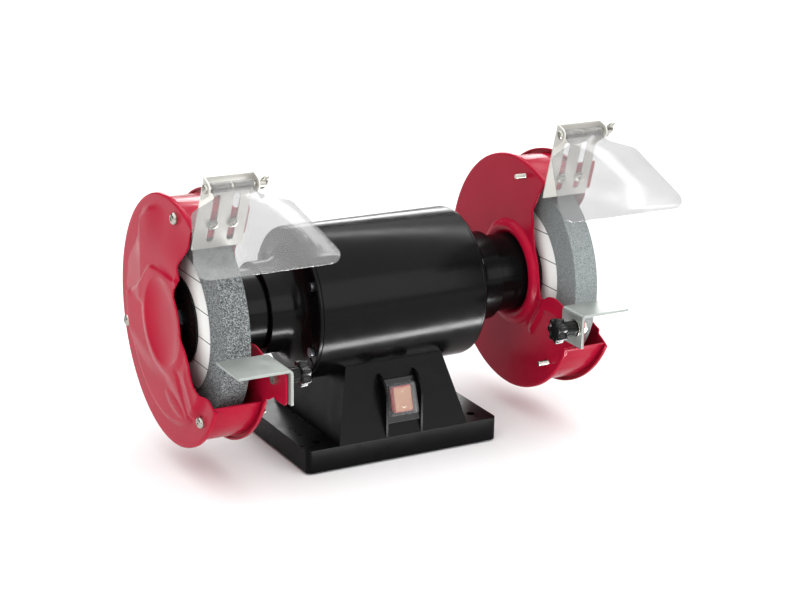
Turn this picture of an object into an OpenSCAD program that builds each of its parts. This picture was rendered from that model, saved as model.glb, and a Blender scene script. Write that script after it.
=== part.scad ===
// Double-ended bench grinder: one motor on a pedestal, two guarded wheels,
// each with a tool rest, a spark deflector and a hinged eye shield.
// Millimetres. +X runs along the spindle to the operator's right, +Y away from
// the operator, +Z up. The origin is the middle of the bench bolt pattern, on the bench.

/* [Spindle] */
// Height of the spindle axis above the bench
shaft_h = 146; // [145:0.5:148]
// Position of the spindle axis in front of (-) or behind the middle of the base
shaft_y = -6.5; // [-8:0.5:-5]
// Radius of the spindle where it carries the wheels
arbor_r = 8; // [7.5:0.1:8.2]
// Radius of the spindle inside the bearings
journal_r = 8.5; // [8.4:0.05:8.6]

/* [Wheels] */
// Diameter of each grinding wheel
wheel_d = 200; // [196:1:200]
// Width of each grinding wheel
wheel_t = 25; // [20:1:25]
// Distance from the middle of the machine to the middle of each wheel
wheel_x = 182.5; // [182:0.5:183]
// Radius of the paper label on each side of a wheel
label_r = 67; // [55:1:75]
// Radius of the wheel clamping flanges
flange_r = 41; // [36:1:44]

/* [Motor] */
// Outer radius of the motor tube
motor_r = 73.2; // [73:0.1:74]
// Length of the motor tube
motor_len = 170; // [168:1:172]
// Thickness of the motor tube
motor_wall = 2.5; // [2:0.1:3]
// Radius of the neck of each end shield
neck_r = 44; // [43:0.5:46]
// Radius of the collar that carries each guard
collar_r = 38.5; // [38:0.1:39]
// Distance of the tie bolts from the spindle axis
tie_r = 63; // [62.5:0.1:63.5]
// Height of the tie bolts above or below the spindle axis, as an angle
tie_angle = 30; // [28:1:34]

/* [Guards] */
// Motor-side face of the inner guard plate, from the middle of the machine
guard_in = 157; // [156.5:0.1:157.5]
// Outer face of the guard cover's flat rim, from the middle of the machine
guard_out = 208; // [207.5:0.1:209]
// Radius of the guard rims
guard_r = 118; // [117.5:0.1:120]
// Outer radius of the band between the two plates
band_r = 113; // [112.5:0.1:114]
// Thickness of the guard sheet
sheet = 1.8; // [1.5:0.1:2]
// Upper edge of the guard opening, as an angle up from the front
open_top = 60; // [58:1:62]
// Lower edge of the guard opening, as an angle up from the front
open_bottom = -28.5; // [-30:0.5:-27]
// Distance of the long cover screws from the spindle axis
screw_ring_r = 105; // [104.5:0.1:105.5]

/* [Base] */
// Width of the base
base_w = 204; // [200:1:210]
// Depth of the base
base_d = 160; // [156:1:164]
// Height of the base's top face above the bench
base_top = 24.3; // [23:0.1:26]
// Gap that the rubber feet leave under the casting
foot_gap = 2; // [1.5:0.1:3]
// Wall of the base casting
base_wall = 4; // [3.5:0.1:4.5]
// Width and depth of the bench bolt pattern
bolt_grid = [168, 120]; // [100:1:170]
// Radius of the bench bolt holes
bolt_hole_r = 4.25; // [3.5:0.05:4.5]
// Half width of the pedestal at its foot
ped_foot = 69; // [67:0.5:70]
// Half width of the pedestal at its top
ped_top = 51.3; // [50:0.1:53]

/* [Tool rests] */
// Width of the rests along the spindle
rest_w = 52; // [46:1:54]
// Depth of the left and the right rest
rest_depth = [48, 35]; // [30:1:54]
// Height of the rest's upper face
rest_z = 139; // [138.5:0.1:140]
// Drop of the clamping flange below the upper face
rest_drop = 33; // [30:1:34]
// Thickness of the rest plate
rest_t = 2.6; // [2:0.1:2.8]
// How far the left and the right rest are drawn back from their nearest setting
rest_back = [3.5, 1]; // [0:0.5:8]

/* [Spark deflectors] */
// Width and height of each deflector plate
defl_size = [48, 79]; // [46:1:80]
// Lean of the left and the right deflector from the vertical
defl_lean = [23, 16]; // [12:1:26]
// How far the left and the right deflector are raised in their slots
defl_raise = [2.5, 9]; // [0:0.5:12]
// Middle of the left and the right deflector along the spindle
defl_x = [-185.6, 176]; // [-186:0.1:180]

/* [Eye shields] */
// Length of the shield from its hinge to its lower edge
shield_len = 99; // [85:1:104]
// Thickness of the shield
shield_t = 2.5; // [2:0.1:3]
// Slope of the left and the right shield below the horizontal
shield_slope = [33, 38]; // [30:1:50]

/* [Hidden] */
$fn = 72;
L = 0; // index of the left side's values
R = 1; // index of the right side's values
cut = 300; // reach of the cutting outlines, past everything
wheel_r = wheel_d / 2;
front = -base_d / 2 + 0.3; // foot of the pedestal's front and of the cheeks
body_half = motor_len / 2;

// Pedestal: the front and back lean in as they rise
ped_back = shaft_y + 73.5;
ped_top_y = [shaft_y - 50, shaft_y + 50];
ped_top_z = 93;
face_lean = atan((ped_top_y[0] - front) / (ped_top_z - base_top));
saddle_wall = 4;

// Bearings, size 17 x 40 x 12
bearing_r = 20;
bearing_t = 12;
bearing_x = 109;
ball_r = 3.2;
pitch_r = (bearing_r + journal_r) / 2;
ball_gap = 0.06; // running clearance between the balls and their tracks
balls = 8;

// Motor core
stator_bore = 38.5;
rotor_r = 38;
core_half = 35;

// Spindle
shoulder_x = 160; // where the spindle steps down to the arbor
spindle_end = 206.3;
nut_x = wheel_x + wheel_t / 2 + 4;

// Guards
cover_screw_angles = [77.5, -44, -164];
cover_screw_r = 2.5;
collar_screw_ring = 30;
ear_bolt = [-127, -21.5]; // from the spindle axis: back, up
ear_bolt_r = 3;
knob_r = 12.5;

// The front edges of the sheet parts, as outlines that are cut away
plate_front = [
    [-62, 112], [-50, 93], [-37, 70], [-40, 46], [-49, 20], [-56, -13], [-62, -13], [-71, -7],
    [-82, -5.5], [-92, -7.5], [-99, -11], [-cut, -11], [-cut, 112]
];
cover_front = [
    [-64, 112], [-55, 97], [-50, 82], [-36, 67], [-31.5, 59.5], [-36, 47], [-29, 38], [-28.5, 25],
    [-34.5, 8], [-45.5, -8.5], [-56.5, -24], [-61, -34], [-68, -42], [-90, -49], [-106, -56.5],
    [-cut, -100], [-cut, 112]
];
ear_front = [-147, -134];
function ear(i) = concat([[-70, -11]], arc_pts([ear_front[i] + 5, -16], 5, 90, 180, 3),
    arc_pts([ear_front[i] + 6, -36], 6, 180, 270, 3),
    [[-126, -42.4], [-121, -41], [-111, -47], [-104, -48], [-80, -40]]);

// Deflectors: the foot of the plate from the spindle axis, and the hinge bolt on the plate
defl_foot = [-60, 82];
defl_t = 1.6;
slot_x = [-8, 11];
slot_half_w = 3.2;
slot_s = [10, 55];
clamp_s = 29; // height of the clamping screws above the foot
clamp_r = 2.5;
hinge_s = 72.5;
hinge_out = 9;
hinge_r = 2.5;
ear_t = 1.6;
tab_gap = 0.3; // the deflector slides in front of the guard's tab

// Switch, on the pedestal's sloping front
cheek_in = 17.5;
cheek_out = 19.7;
rocker_pivot_s = 34;
rocker_pivot_out = 2.2;

function polar(r, a) = [-r * cos(a), r * sin(a)];
function arc_pts(c, r, a0, a1, n = 8) =
    [for (i = [0:n]) c + r * [cos(a0 + (a1 - a0) * i / n), sin(a0 + (a1 - a0) * i / n)]];
function rounded_rect(w, d, r) = concat(
    arc_pts([w / 2 - r, d / 2 - r], r, 0, 90, 5), arc_pts([-w / 2 + r, d / 2 - r], r, 90, 180, 5),
    arc_pts([-w / 2 + r, -d / 2 + r], r, 180, 270, 5), arc_pts([w / 2 - r, -d / 2 + r], r, 270, 360, 5));
// A point on a deflector: s up the plate from its foot, n behind its back face
function defl_pt(i, s, n) = defl_foot
    + s * [-sin(defl_lean[i]), cos(defl_lean[i])] + n * [cos(defl_lean[i]), sin(defl_lean[i])];

// Places children drawn with x = back, y = up, z = right about the spindle axis
module on_shaft() translate([0, shaft_y, shaft_h]) rotate([90, 0, 90]) children();
module side(i) mirror([1 - i, 0, 0]) children(); // the left side mirrors the right
module ring(r_out, r_in, x0, x1) {
    translate([0, 0, x0]) difference() {
        cylinder(r = r_out, h = x1 - x0);
        translate([0, 0, -1]) cylinder(r = r_in, h = x1 - x0 + 2);
    }
}
module turned(points) rotate_extrude($fn = 96) polygon(points);
module plate(x0, x1, points) translate([0, 0, x0]) linear_extrude(x1 - x0) polygon(points);
module round_bar(at, r, x0, x1) translate([at[0], at[1], x0]) cylinder(r = r, h = x1 - x0);
module hex_bar(at, r, x0, x1) translate([at[0], at[1], x0]) cylinder(r = r, h = x1 - x0, $fn = 6);
module opening_wedge(x0, x1) {
    middle = (open_top + open_bottom) / 2;
    plate(x0, x1, [[0, 0], polar(cut, open_bottom), polar(1.5 * cut, middle), polar(cut, open_top)]);
}
// Frame on the pedestal's sloping face: -y outwards, z up the slope
module on_face() translate([0, front, base_top]) rotate([-face_lean, 0, 0]) children();
// Frame on a deflector: z up the plate from its foot, -y outwards
module on_deflector(i) {
    translate([defl_x[i], shaft_y + defl_foot[0], shaft_h + defl_foot[1]])
        rotate([defl_lean[i], 0, 0]) translate([0, 0, defl_raise[i]]) children();
}
// Frame on a shield's hinge: x along the bolt, -y down the shield, z its outer normal
module on_hinge(i) {
    on_deflector(i) translate([0, -hinge_out, hinge_s])
        rotate([shield_slope[i] - defl_lean[i], 0, 0]) children();
}
module tie_places(r) {
    for (a = [tie_angle, -tie_angle, 180 - tie_angle, 180 + tie_angle])
        translate([r * cos(a), r * sin(a), 0]) children();
}
module collar_screw_places() {
    for (a = [90, 210, 330])
        translate([collar_screw_ring * cos(a), collar_screw_ring * sin(a), 0]) children();
}
module cover_screw_places() {
    for (a = cover_screw_angles) translate(concat(polar(screw_ring_r, a), [0])) children();
}
module foot_places() {
    for (x = [-1, 1], y = [-1, 1])
        translate([x * bolt_grid[0] / 2, y * bolt_grid[1] / 2, 0]) children();
}
module bottom_screw_places() {
    for (x = [-1, 1], y = [-1, 1]) translate([x * bolt_grid[0] / 2, y * 20, 0]) children();
}
module motor_screw_places() for (x = [-45, 45]) translate([x, shaft_y, 0]) children();
module rounded_slab(w, d, r, z0, z1) {
    translate([0, 0, z0]) linear_extrude(z1 - z0) polygon(rounded_rect(w, d, r));
}

// ---------------------------------------------------------------- base
module pedestal(inset, z0, z1) {
    hull() {
        translate([-ped_foot + inset, front + inset, z0])
            cube([2 * (ped_foot - inset), ped_back - front - 2 * inset, 0.01]);
        translate([-ped_top + inset, ped_top_y[0] + inset, z1 - 0.01])
            cube([2 * (ped_top - inset), ped_top_y[1] - ped_top_y[0] - 2 * inset, 0.01]);
    }
}
module cheek(x0, x1) {
    translate([x0, 0, 0]) rotate([90, 0, 90]) linear_extrude(x1 - x0)
        polygon(concat([[front + 12, base_top - 1], [front, base_top - 1]],
            arc_pts([front + 22, base_top + 36], 22, 180, 92, 10), [[front + 26, base_top + 56]]));
}
module base_casting() {
    color([0.05, 0.05, 0.055]) difference() {
        union() {
            difference() {
                union() {
                    rounded_slab(base_w, base_d, 6, foot_gap, base_top);
                    pedestal(0, base_top - 0.5, ped_top_z);
                    cheek(cheek_in, cheek_out);
                    cheek(-cheek_out, -cheek_in);
                }
                rounded_slab(base_w - 2 * base_wall, base_d - 2 * base_wall, 3,
                    foot_gap - 1, base_top - base_wall);
                difference() {
                    pedestal(base_wall, base_top - base_wall - 1, ped_top_z);
                    on_shaft() cylinder(r = motor_r + saddle_wall, h = cut, center = true);
                }
            }
            foot_places() translate([0, 0, foot_gap]) cylinder(r = 17, h = base_top - foot_gap - 1);
            bottom_screw_places() translate([0, 0, 4]) cylinder(r = 5, h = base_top - 5);
            motor_screw_places() translate([0, 0, 65]) cylinder(r = 8, h = 6);
        }
        on_shaft() cylinder(r = motor_r + 0.03, h = cut, center = true);
        foot_places() translate([0, 0, -1]) cylinder(r = bolt_hole_r, h = base_top + 2);
        foot_places() translate([0, 0, foot_gap - 1]) cylinder(r = 11.1, h = 2.5);
        bottom_screw_places() translate([0, 0, 3]) cylinder(r = 1.75, h = 14);
        motor_screw_places() translate([0, 0, 60]) cylinder(r = 3.1, h = 20);
        translate([0, shaft_y, 60]) cylinder(r = 7, h = 20);
        on_face() translate([-13.5, -2, 15]) cube([27, 12, 37]);
        gland_place() translate([0, 0, -20]) cylinder(r = 8, h = 40);
    }
}
module gland_place() {
    back_lean = atan((ped_back - ped_top_y[1]) / (ped_top_z - base_top));
    translate([32, ped_back, base_top]) rotate([back_lean, 0, 0])
        translate([0, 0, 16]) rotate([-90, 0, 0]) children();
}
module bottom_plate() {
    color([0.2, 0.2, 0.21]) difference() {
        rounded_slab(base_w - 2 * base_wall - 0.6, base_d - 2 * base_wall - 0.6, 2.7, 2.8, 4);
        for (x = [-1, 1], y = [-1, 1]) hull() for (out = [0, 20])
            translate([x * (bolt_grid[0] / 2 + out), y * (bolt_grid[1] / 2 + out), 2])
                cylinder(r = 17.3, h = 3);
        bottom_screw_places() translate([0, 0, 2]) cylinder(r = 1.9, h = 3);
    }
}
module bottom_plate_screws() {
    color("silver") bottom_screw_places() {
        translate([0, 0, 1.3]) cylinder(r = 3.2, h = 1.5);
        translate([0, 0, 2.7]) cylinder(r = 1.7, h = 12);
    }
}
module rubber_feet() {
    color([0.1, 0.1, 0.1]) foot_places() difference() {
        cylinder(r = 11, h = foot_gap + 1.5);
        translate([0, 0, -1]) cylinder(r = bolt_hole_r, h = foot_gap + 4);
    }
}
module motor_mounting_screws() {
    color("silver") motor_screw_places() {
        translate([0, 0, 61]) cylinder(r = 5.2, h = 4, $fn = 6);
        translate([0, 0, 64.5]) cylinder(r = 3, h = 14);
    }
}

// ---------------------------------------------------------------- motor
module motor_tube() {
    color([0.04, 0.04, 0.045]) difference() {
        on_shaft() ring(motor_r, motor_r - motor_wall, -body_half, body_half);
        motor_screw_places() translate([0, 0, 60]) cylinder(r = 3.02, h = 25);
        translate([0, shaft_y, 60]) cylinder(r = 6, h = 20);
    }
}
module end_shield(i) {
    x = body_half;
    rim = motor_r - 0.8;
    spigot = motor_r - motor_wall - 0.02;
    seat = x + 3; // where the tie bolts' heads bear
    flare = 18; // fillet between the neck and the shield's face
    bell = arc_pts([neck_r + flare, x + flare + 4], flare, -96, -180, 10);
    color([0.05, 0.05, 0.055]) side(i) on_shaft() difference() {
        turned(concat(
            [[22, guard_in], [22, 121], [12.5, 121], [12.5, bearing_x + bearing_t / 2],
             [bearing_r + 0.02, bearing_x + bearing_t / 2],
             [bearing_r + 0.02, bearing_x - bearing_t / 2 - 2], [24, x + 13.5], [40, x + 13],
             [43, x + 9], [50, x + 3.6], [58, x + 0.5], [66.5, x], [66.5, x - 5], [spigot, x - 5],
             [spigot, x], [rim, x]],
            arc_pts([rim - 2, x + 1.5], 2, 0, 90, 4), bell,
            [[neck_r, 123], [neck_r - 0.8, 123.8], [collar_r - 1, 124], [collar_r - 1, 125.2],
             [collar_r, 125.6], [collar_r, guard_in]]));
        tie_places(tie_r) translate([0, 0, x - 6]) cylinder(r = 2.7, h = 30);
        tie_places(tie_r + 3) translate([0, 0, seat]) cylinder(r = 9, h = 20);
        collar_screw_places() translate([0, 0, guard_in - 14]) cylinder(r = 2.52, h = 15);
    }
}
module left_end_shield() end_shield(L);
module right_end_shield() end_shield(R);
module tie_bolts() {
    color("silver") on_shaft() tie_places(tie_r) {
        translate([0, 0, -body_half - 3]) cylinder(r = 2.5, h = motor_len + 8.5);
        translate([0, 0, -body_half - 6.2]) cylinder(r = 4.6, h = 3.2);
        translate([0, 0, body_half + 3]) cylinder(r = 4.6, h = 3.2, $fn = 6);
    }
}
module stator_core() {
    color([0.45, 0.45, 0.47]) on_shaft() difference() {
        ring(motor_r - motor_wall - 0.02, stator_bore, -core_half, core_half);
        tie_places(tie_r) cylinder(r = 3.2, h = motor_len, center = true);
        for (k = [0:17]) rotate(20 * k) translate([stator_bore + 8, 0, 0])
            cube([17, 5, motor_len], center = true);
    }
}
module stator_windings() {
    color([0.72, 0.38, 0.16]) on_shaft() for (m = [0, 1]) mirror([0, 0, m])
        turned(concat(arc_pts([45, core_half + 5], 3, 180, 270, 4),
            arc_pts([53, core_half + 5], 3, 270, 360, 4), arc_pts([52, core_half + 18], 4, 0, 90, 4),
            arc_pts([46, core_half + 18], 4, 90, 180, 4)));
}
module bearing_ring(r_out, r_in, m) {
    mirror([0, 0, m]) difference() {
        ring(r_out, r_in, bearing_x - bearing_t / 2, bearing_x + bearing_t / 2);
        translate([0, 0, bearing_x]) rotate_extrude() translate([pitch_r, 0])
            circle(r = ball_r + ball_gap, $fn = 48);
    }
}
module bearing_outer_rings() {
    color("lightgrey") on_shaft() for (m = [0, 1]) bearing_ring(bearing_r, 16.2, m);
}
module bearing_inner_rings() {
    color("lightgrey") on_shaft() for (m = [0, 1]) bearing_ring(12.3, journal_r, m);
}
module bearing_balls() {
    color("white") on_shaft() for (m = [-1, 1], k = [0:balls - 1])
        rotate(360 * k / balls) translate([pitch_r, 0, m * bearing_x]) sphere(r = ball_r, $fn = 32);
}
module wave_washer() {
    x = bearing_x - bearing_t / 2; // it presses on the right bearing's inner side
    color("silver") on_shaft() ring(19, 15, x - 1.2, x);
}
module capacitor() {
    color([0.85, 0.85, 0.82]) translate([-22, 22, base_top + 14]) rotate([0, 90, 0]) {
        cylinder(r = 14, h = 44);
        for (y = [-5, 5]) translate([-1.5, y - 0.4, -6]) cube([3, 0.8, 7]);
    }
}
module capacitor_clip() {
    color("silver") translate([-4, 22, base_top + 14]) rotate([0, 90, 0]) difference() {
        union() {
            cylinder(r = 15, h = 9);
            translate([13.5, -22, 0]) cube([1.4, 44, 9]);
        }
        translate([0, 0, -1]) cylinder(r = 14.05, h = 11);
    }
}
module terminal_block() {
    color([0.92, 0.92, 0.88]) difference() {
        translate([-52, 42, 4.2]) cube([34, 14, 12]);
        for (k = [0:3]) translate([-48 + 8.6 * k, 49, 8]) cylinder(r = 2, h = 12);
    }
}
module cable_gland() {
    color([0.06, 0.06, 0.06]) gland_place() difference() {
        union() {
            translate([0, 0, -9]) cylinder(r = 7.9, h = 12);
            cylinder(r = 11, h = 3);
            translate([0, 0, 2.5]) cylinder(r1 = 9, r2 = 6.6, h = 9);
            translate([0, 0, -9]) cylinder(r = 9.6, h = 2.5, $fn = 6);
        }
        translate([0, 0, -20]) cylinder(r = 3.8, h = 40);
    }
}

// ---------------------------------------------------------------- switch
module switch_frame() {
    color([0.05, 0.05, 0.05]) on_face() difference() {
        union() {
            translate([-17.2, -3, 12.5]) cube([34.4, 2.95, 42]);
            translate([-13.2, -1, 15.3]) cube([26.4, 24, 36.4]);
        }
        translate([-11.6, -4, 20]) cube([23.2, 16, 28.4]);
    }
}
module switch_boot() {
    color([0.85, 0.8, 0.8, 0.4]) on_face() difference() {
        translate([-15, -10, 18.6]) cube([30, 7, 30.8]);
        translate([-14, -9, 19.6]) cube([28, 7.5, 28.8]);
    }
}
module switch_rocker() {
    color([0.85, 0.1, 0.08]) on_face() translate([0, -rocker_pivot_out, rocker_pivot_s])
        rotate([90, 0, 90]) translate([0, 0, -11.2]) {
            linear_extrude(22.4) polygon([[-4.2, -12], [-4.8, 0], [-5.6, 12.4], [0, 11.8], [7, 5],
                [7, -5], [0, -11.6]]);
        }
}

// ---------------------------------------------------------------- guards
module guard_housing(i) {
    x0 = guard_in;
    x1 = guard_in + sheet;
    bulge = [45.5, x0];
    tab_in = 159;
    tab_out = 205.5;
    color([0.72, 0.13, 0.2]) on_shaft() difference() {
        mirror([0, 0, 1 - i]) difference() { // the left side mirrors the right
            union() {
                difference() {
                    turned(concat([[19.5, x0], [40, x0]], arc_pts(bulge, 5.5, 180, 360), [[116.2, x0]],
                        arc_pts([116.2, x1], 1.8, -90, 0, 4), [[116.2, x1], [49.2, x1]],
                        arc_pts(bulge, 3.7, 0, -180), [[41.8, x1], [19.5, x1]]));
                    plate(x0 - 10, x1 + 5, plate_front);
                }
                plate(x0, x1, ear(i));
                difference() {
                    union() {
                        ring(guard_r, guard_r - sheet, x1 - 0.2, x0 + 4.2);
                        ring(band_r, band_r - sheet, x1 - 0.5, guard_out - sheet);
                    }
                    opening_wedge(x0, guard_out + 1);
                }
                plate(tab_in, tab_out, [defl_pt(i, 13, tab_gap), defl_pt(i, 42, tab_gap),
                    defl_pt(i, 42, tab_gap + 2), defl_pt(i, 15, tab_gap + 2),
                    polar(band_r - 0.1, open_top + 1), polar(band_r - sheet + 0.1, open_top + 1)]);
            }
            cover_screw_places() translate([0, 0, x0 - 1]) cylinder(r = cover_screw_r + 0.02, h = 5);
            collar_screw_places() translate([0, 0, x0 - 1]) cylinder(r = 2.6, h = 5);
            round_bar(ear_bolt, ear_bolt_r + 0.02, x0 - 1, x1 + 1);
        }
        for (dx = slot_x) deflector_screw_hole(i, dx);
    }
}
// In the spindle's frame: a hole through the guard's tab
module deflector_screw_hole(i, dx) {
    p = defl_pt(i, clamp_s, 0);
    translate([p[0], p[1], defl_x[i] + dx]) rotate([0, 0, defl_lean[i]])
        rotate([0, 90, 0]) translate([0, 0, -6]) cylinder(r = clamp_r + 0.02, h = 12);
}
module left_guard_housing() guard_housing(L);
module right_guard_housing() guard_housing(R);
module guard_cover(i) {
    f = guard_out;
    b = guard_out - sheet;
    color([0.72, 0.13, 0.2]) side(i) on_shaft() difference() {
        turned(concat(
            [[0, f + 1.5], [30, f + 1.6], [35.5, f + 3], [39, f + 5.8], [41.5, f + 6.9], [44.5, f + 6.9],
             [50, f + 6.3], [75, f + 3.6], [96, f + 0.8], [100, f], [116.2, f]],
            arc_pts([116.2, b], 1.8, 90, 0, 4), [[guard_r, f - 4.2], [116.2, f - 4.2], [116.2, b]],
            [[99.6, b], [95.5, f - 0.9], [75, f + 1.8], [50, f + 4.5], [44.5, f + 5.1], [42, f + 5.1],
             [40, f + 4.2], [36.6, f + 1.4], [30.5, f - 0.2], [0, f - 0.3]]));
        plate(f - 8, f + 12, cover_front);
        cover_screw_places() translate([0, 0, f - 5]) cylinder(r = cover_screw_r + 0.02, h = 12);
    }
}
module left_guard_cover() guard_cover(L);
module right_guard_cover() guard_cover(R);
module pan_head(r, h) {
    edge = h * 0.7; // rounding of the head's rim
    rotate_extrude()
        polygon(concat([[0, 0], [r, 0]], arc_pts([r - edge, h - edge], edge, 0, 90, 4), [[0, h]]));
}
module cover_screws(i) {
    color("lightgrey") side(i) on_shaft() cover_screw_places() {
        translate([0, 0, guard_in - 11]) cylinder(r = cover_screw_r, h = guard_out - guard_in + 11.5);
        translate([0, 0, guard_out]) pan_head(4.7, 3);
    }
}
module left_cover_screws() cover_screws(L);
module right_cover_screws() cover_screws(R);
module guard_mounting_screws() {
    color("silver") for (i = [L, R]) side(i) on_shaft() collar_screw_places() {
        translate([0, 0, guard_in - 12]) cylinder(r = 2.5, h = 14);
        translate([0, 0, guard_in + sheet]) pan_head(4.6, 2.8);
    }
}
module deflector_screws(i) {
    color("lightgrey") on_shaft() for (dx = slot_x) {
        p = defl_pt(i, clamp_s, 0);
        translate([p[0], p[1], defl_x[i] + dx]) rotate([0, 0, defl_lean[i]]) rotate([0, -90, 0]) {
            translate([0, 0, -6]) cylinder(r = clamp_r, h = 9);
            translate([0, 0, defl_t + 0.3]) difference() {
                cylinder(r = 5.2, h = 1);
                translate([0, 0, -1]) cylinder(r = clamp_r - 0.1, h = 3);
            }
            translate([0, 0, defl_t + 1.2]) pan_head(4.3, 2.6);
            translate([0, 0, -5.4]) cylinder(r = 4.6, h = 3.1, $fn = 6);
        }
    }
}
module left_deflector_screws() deflector_screws(L);
module right_deflector_screws() deflector_screws(R);
module rest_bolt(i) {
    color([0.8, 0.78, 0.68]) side(i) on_shaft() {
        hex_bar(ear_bolt, 5.8, guard_in + sheet, guard_in + sheet + 4.2);
        round_bar(ear_bolt, ear_bolt_r, 132, guard_in + sheet + 1);
    }
}
module left_rest_bolt() rest_bolt(L);
module right_rest_bolt() rest_bolt(R);
module rest_washers() {
    color("lightgrey") for (i = [L, R]) side(i) on_shaft()
        translate([ear_bolt[0], ear_bolt[1], 0]) ring(8.2, ear_bolt_r + 0.02, 152.2, 153.4);
}

// ---------------------------------------------------------------- rotor
module spindle() {
    color([0.6, 0.6, 0.62]) on_shaft() {
        x = bearing_x - bearing_t / 2;
        cylinder(r = 12.5, h = 2 * x - 0.2, center = true);
        cylinder(r = journal_r, h = 2 * shoulder_x, center = true);
        cylinder(r = arbor_r, h = 2 * spindle_end, center = true);
    }
}
module rotor_core() {
    color([0.5, 0.5, 0.52]) on_shaft() {
        ring(rotor_r, 12.5, -core_half, core_half);
        ring(rotor_r - 2, 24, -core_half - 8, core_half + 8);
    }
}
module wheel(i) {
    color(i == L ? [0.5, 0.53, 0.55] : [0.45, 0.48, 0.52]) side(i) on_shaft()
        ring(wheel_r, 16, wheel_x - wheel_t / 2, wheel_x + wheel_t / 2);
}
module left_wheel() wheel(L);
module right_wheel() wheel(R);
module wheel_bush(i) {
    color("lightgrey") side(i) on_shaft() ring(16, arbor_r, wheel_x - wheel_t / 2, wheel_x + wheel_t / 2);
}
module left_wheel_bush() wheel_bush(L);
module right_wheel_bush() wheel_bush(R);
module wheel_labels(i) {
    color("white") side(i) on_shaft() for (m = [-1, 1])
        translate([0, 0, wheel_x + m * (wheel_t / 2 + 0.25)]) ring(label_r, 17, -0.25, 0.25);
}
module left_wheel_labels() wheel_labels(L);
module right_wheel_labels() wheel_labels(R);
module wheel_flanges(i) {
    xi = wheel_x - wheel_t / 2 - 0.5;
    xo = wheel_x + wheel_t / 2 + 0.5;
    color([0.1, 0.1, 0.1]) side(i) on_shaft() {
        turned([[arbor_r, shoulder_x], [14, shoulder_x], [14, xi - 4.5], [flange_r - 6, xi - 4.5],
            [flange_r - 3, xi - 2.5], [flange_r, xi - 2.5], [flange_r, xi], [flange_r - 11, xi],
            [flange_r - 12, xi - 1.5], [arbor_r, xi - 1.5]]);
        turned([[arbor_r, xo + 3.5], [flange_r - 6, xo + 3.5], [flange_r - 3, xo + 2],
            [flange_r, xo + 2], [flange_r, xo], [flange_r - 11, xo], [flange_r - 12, xo + 1.5],
            [arbor_r, xo + 1.5]]);
    }
}
module left_wheel_flanges() wheel_flanges(L);
module right_wheel_flanges() wheel_flanges(R);
module spindle_nut(i) {
    color([0.3, 0.3, 0.31]) side(i) on_shaft() difference() {
        translate([0, 0, nut_x]) cylinder(r = 13.8, h = 6.4, $fn = 6);
        translate([0, 0, nut_x - 1]) cylinder(r = arbor_r, h = 10);
    }
}
module left_spindle_nut() spindle_nut(L);
module right_spindle_nut() spindle_nut(R);

// ---------------------------------------------------------------- deflectors and shields
module spark_deflector(i) {
    w = defl_size[0] / 2;
    h = defl_size[1];
    color([0.86, 0.86, 0.84]) on_deflector(i) difference() {
        union() {
            translate([-w, -defl_t, 0]) cube([2 * w, defl_t, h]);
            for (x = [-w, w - ear_t]) translate([x, 0, 0]) rotate([90, 0, 90]) linear_extrude(ear_t)
                polygon(concat([[0, 56], [-3, 56]], arc_pts([-hinge_out, hinge_s], 6.5, 215, 90, 6),
                    [[0, hinge_s + 6.5]]));
        }
        for (x = slot_x) slot(x);
        translate([-w - 1, -hinge_out, hinge_s]) rotate([0, 90, 0])
            cylinder(r = hinge_r + 0.02, h = 2 * w + 2);
    }
}
module slot(x) {
    for (s = slot_s) translate([x, 1, s]) rotate([90, 0, 0]) cylinder(r = slot_half_w, h = 4);
    translate([x - slot_half_w, -3, slot_s[0]]) cube([2 * slot_half_w, 4, slot_s[1] - slot_s[0]]);
}
module left_spark_deflector() spark_deflector(L);
module right_spark_deflector() spark_deflector(R);
module shield_bolt(i) {
    w = defl_size[0] / 2;
    color("lightgrey") on_deflector(i) translate([0, -hinge_out, hinge_s]) rotate([0, 90, 0]) {
        translate([0, 0, -w]) cylinder(r = hinge_r, h = 2 * w + 9.5);
        translate([0, 0, -w]) rotate([180, 0, 0]) pan_head(4.3, 3);
    }
}
module left_shield_bolt() shield_bolt(L);
module right_shield_bolt() shield_bolt(R);
module wing_nut(i) {
    w = defl_size[0] / 2;
    wing = [[0.4, 0], [0.4, 4], [2, 8.5], [4, 10], [6.6, 9.8], [7.6, 7.6], [6.4, 5], [4.8, 0]];
    color("lightgrey") on_deflector(i) translate([w + 0.3, -hinge_out, hinge_s]) rotate([20, 0, 0])
        difference() {
            union() {
                rotate([0, 90, 0]) cylinder(r1 = 4.8, r2 = 4, h = 6);
                for (m = [0, 1]) mirror([0, 0, m]) translate([1, 0.8, 0]) rotate([90, 0, 0])
                    linear_extrude(1.6) polygon(wing);
            }
            rotate([0, 90, 0]) translate([0, 0, -1]) cylinder(r = hinge_r + 0.06, h = 12);
        }
}
module left_wing_nut() wing_nut(L);
module right_wing_nut() wing_nut(R);
module eye_shield(i) {
    r = 12;
    n = shield_len;
    half = concat([[20, 2], [20, -12], [46.5, -25]], arc_pts([54.5, -n + r], r, 12, -90, 7));
    color([0.92, 0.94, 0.95, 0.4]) on_hinge(i) difference() {
        union() {
            translate([0, 0, -shield_t / 2]) linear_extrude(shield_t)
                polygon(concat(half, [for (k = [len(half) - 1:-1:0]) [-half[k][0], half[k][1]]]));
            for (x = [-19.5, 1.2]) translate([x, 0, 0]) rotate([0, 90, 0]) cylinder(r = 4.5, h = 18.3);
        }
        translate([-1.2, -6, -10]) cube([2.4, 16, 20]);
        rotate([0, 90, 0]) cylinder(r = hinge_r + 0.06, h = 60, center = true);
    }
}
module left_eye_shield() eye_shield(L);
module right_eye_shield() eye_shield(R);

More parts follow.
